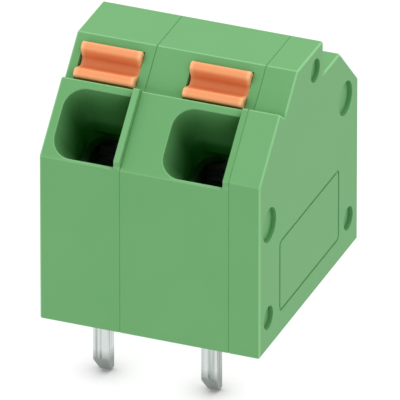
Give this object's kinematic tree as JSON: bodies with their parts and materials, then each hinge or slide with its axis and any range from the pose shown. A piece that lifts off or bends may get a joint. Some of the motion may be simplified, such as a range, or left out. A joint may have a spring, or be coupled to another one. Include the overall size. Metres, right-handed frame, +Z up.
{
  "type": "pcb spring terminal block",
  "caption": "Green circuit board terminal block with sloped wire funnels, orange push buttons that open the clamp springs, and solder pins below.",
  "frame": {"origin": "middle of the underside that sits on the circuit board", "axes": "+X along the row of positions, +Y from the wire side to the back, +Z up from the board; the solder pins reach below the origin"},
  "size_m": [0.0104, 0.0118, 0.0155],
  "materials": {
    "housing": "fine moulded satin",
    "button": "satin",
    "contact": "bright tin plating over copper alloy",
    "spring": "rolled stainless spring strip"
  },
  "bodies": {
    "housing": {"housing_slice_1": "housing", "housing_slice_2": "housing", "end_cover": "housing", "contact_1": "contact", "contact_2": "contact", "clamp_spring_1": "spring", "clamp_spring_2": "spring"},
    "button_1": {"push_button_1": "button"},
    "button_2": {"push_button_2": "button"}
  },
  "joints": [
    {"name": "button_1_press", "type": "slide", "parent": "housing", "child": "button_1", "axis": [0, 0.7071, -0.7071], "range_m": [0, 0.0014], "stiffness_N_per_m": 6000, "deforming": ["clamp_spring_1"]},
    {"name": "button_2_press", "type": "slide", "parent": "housing", "child": "button_2", "axis": [0, 0.7071, -0.7071], "range_m": [0, 0.0014], "stiffness_N_per_m": 6000, "deforming": ["clamp_spring_2"]}
  ]
}
